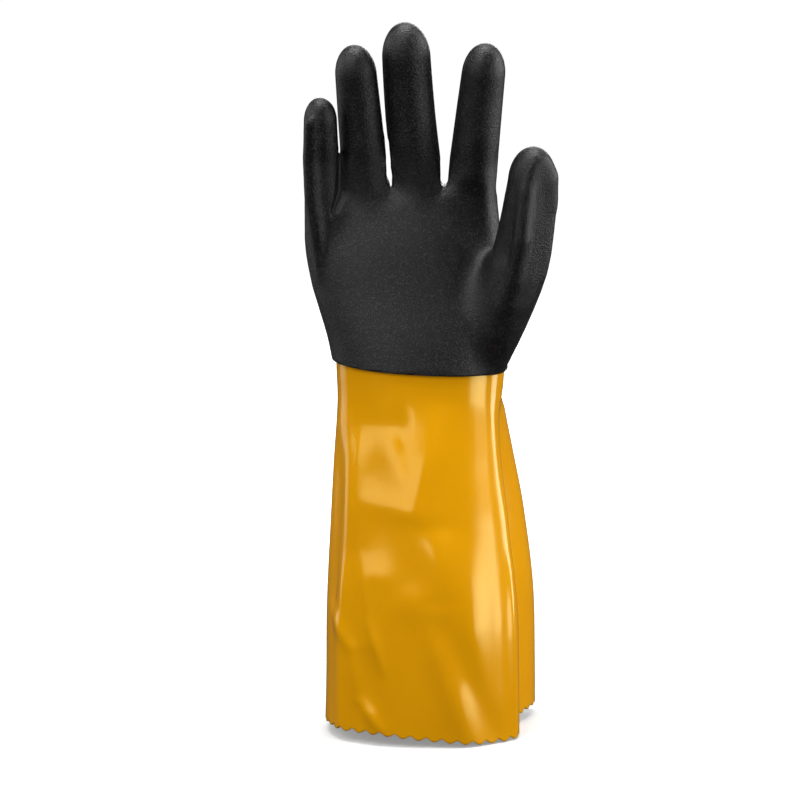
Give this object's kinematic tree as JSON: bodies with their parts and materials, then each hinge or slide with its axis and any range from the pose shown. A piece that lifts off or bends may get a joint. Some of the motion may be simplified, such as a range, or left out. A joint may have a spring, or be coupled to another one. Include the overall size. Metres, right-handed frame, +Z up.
{
  "type": "pvc coated work glove",
  "caption": "Right-hand PVC gauntlet: a glossy cuff with a scalloped hem keeps splashes off the forearm, and a sandy matte second coat gives the hand grip.",
  "frame": {"origin": "centre of the arm opening, in the plane of the hem's lowest scallops", "axes": "+Z up the forearm towards the fingertips, the palm faces -Y, the thumb is on +X"},
  "size_m": [0.1243, 0.092, 0.355],
  "materials": {
    "yellow_pvc": "glossy dipped PVC",
    "black_grip": "sandy matte second dip"
  },
  "bodies": {
    "root": {"pvc_gauntlet": "yellow_pvc", "grip_coat": "black_grip"}
  },
  "joints": []
}
